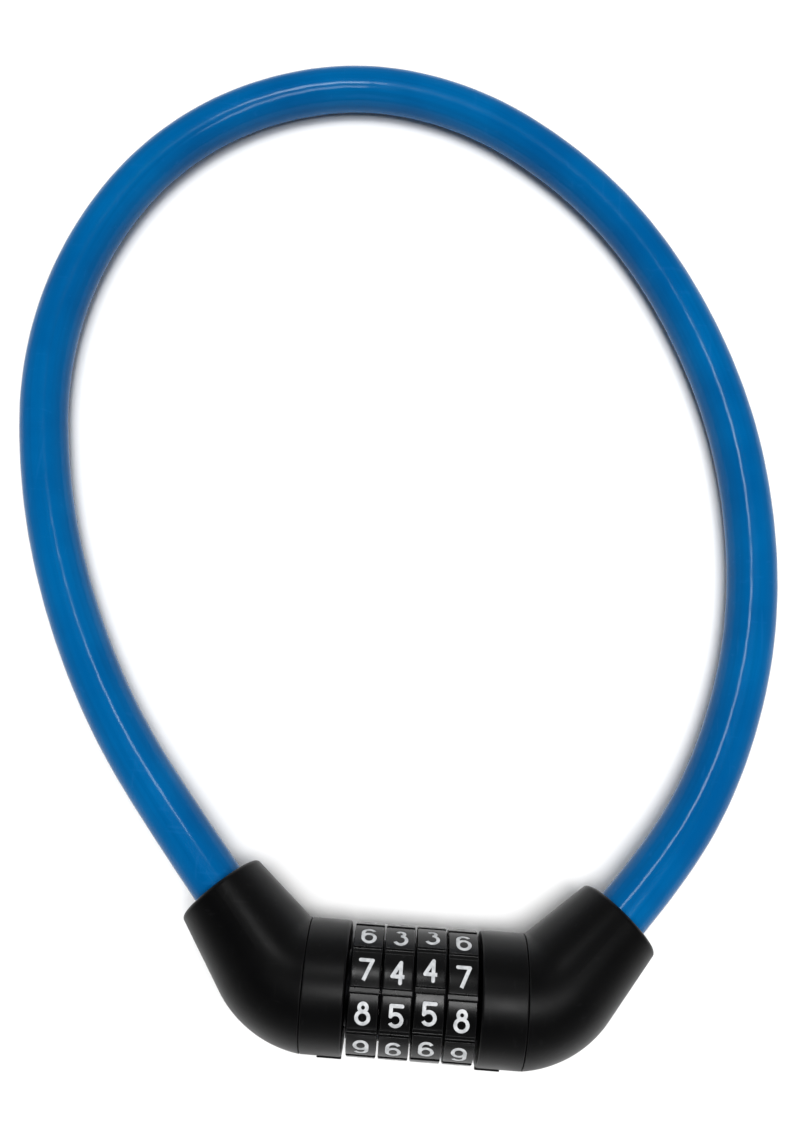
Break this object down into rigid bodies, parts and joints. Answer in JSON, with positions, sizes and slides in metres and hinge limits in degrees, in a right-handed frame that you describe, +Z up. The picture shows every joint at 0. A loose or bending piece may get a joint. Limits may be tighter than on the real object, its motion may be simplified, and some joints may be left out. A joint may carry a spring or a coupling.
{
  "type": "combination cable lock",
  "caption": "Combination cable lock: thick plastic-covered steel cable in a closed loop, its ends held in a black lock body with turning number dials and a pull-out bolt.",
  "frame": {"origin": "on the supporting surface, under the middle of the lock body (without the cable)", "axes": "+X along the dials towards the end that keeps them, +Y towards the cable loop, +Z up from the surface"},
  "size_m": [0.1931, 0.2519, 0.0273],
  "materials": {
    "shell_plastic": "satin, moulded",
    "dial_plastic": "satin, moulded",
    "numeral_paint": "matt, filled engraving",
    "zinc_casting": "as cast, dull",
    "black_zinc_casting": "black passivated, dull",
    "plated_steel": "bright plated",
    "black_steel": "blackened and oiled",
    "cable_sheath_pvc": "glossy, smooth, tinted blue",
    "wire_rope": "stranded"
  },
  "bodies": {
    "lock_body": {"body_elbow_shell": "shell_plastic", "body_collar": "shell_plastic", "body_knuckle": "zinc_casting", "core_tube": "plated_steel", "core_tube_pin": "black_steel", "detent_strip": "black_steel", "end_washer": "black_steel", "circlip": "black_steel", "disc_spring": "black_steel", "body_ferrule": "plated_steel", "cable_sheath": "cable_sheath_pvc", "cable_core": "wire_rope"},
    "bolt_end": {"bolt_elbow_shell": "shell_plastic", "bolt_collar": "shell_plastic", "bolt_knuckle": "zinc_casting", "locking_bolt": "plated_steel", "bolt_pin": "black_steel", "bolt_ferrule": "plated_steel"},
    "dial_1": {"number_dial_1": "dial_plastic", "dial_numerals_1": "numeral_paint", "code_ring_1": "black_zinc_casting"},
    "dial_2": {"number_dial_2": "dial_plastic", "dial_numerals_2": "numeral_paint", "code_ring_2": "black_zinc_casting"},
    "dial_3": {"number_dial_3": "dial_plastic", "dial_numerals_3": "numeral_paint", "code_ring_3": "black_zinc_casting"},
    "dial_4": {"number_dial_4": "dial_plastic", "dial_numerals_4": "numeral_paint", "code_ring_4": "black_zinc_casting"}
  },
  "joints": [
    {"name": "bolt_slide", "type": "slide", "parent": "lock_body", "child": "bolt_end", "axis": [-1, 0, 0], "range_m": [0, 0.036], "deforming": ["cable_sheath", "cable_core"]},
    {"name": "dial_1_turn", "type": "hinge", "parent": "lock_body", "child": "dial_1", "pos_m": [-0.01035, -0.00554, 0.01365], "axis": [1, 0, 0], "continuous": true, "deforming": ["detent_strip"]},
    {"name": "dial_2_turn", "type": "hinge", "parent": "lock_body", "child": "dial_2", "pos_m": [-0.00365, -0.00554, 0.01365], "axis": [1, 0, 0], "continuous": true, "deforming": ["detent_strip"]},
    {"name": "dial_3_turn", "type": "hinge", "parent": "lock_body", "child": "dial_3", "pos_m": [0.00305, -0.00554, 0.01365], "axis": [1, 0, 0], "continuous": true, "deforming": ["detent_strip"]},
    {"name": "dial_4_turn", "type": "hinge", "parent": "lock_body", "child": "dial_4", "pos_m": [0.00975, -0.00554, 0.01365], "axis": [1, 0, 0], "continuous": true, "deforming": ["detent_strip"]}
  ]
}
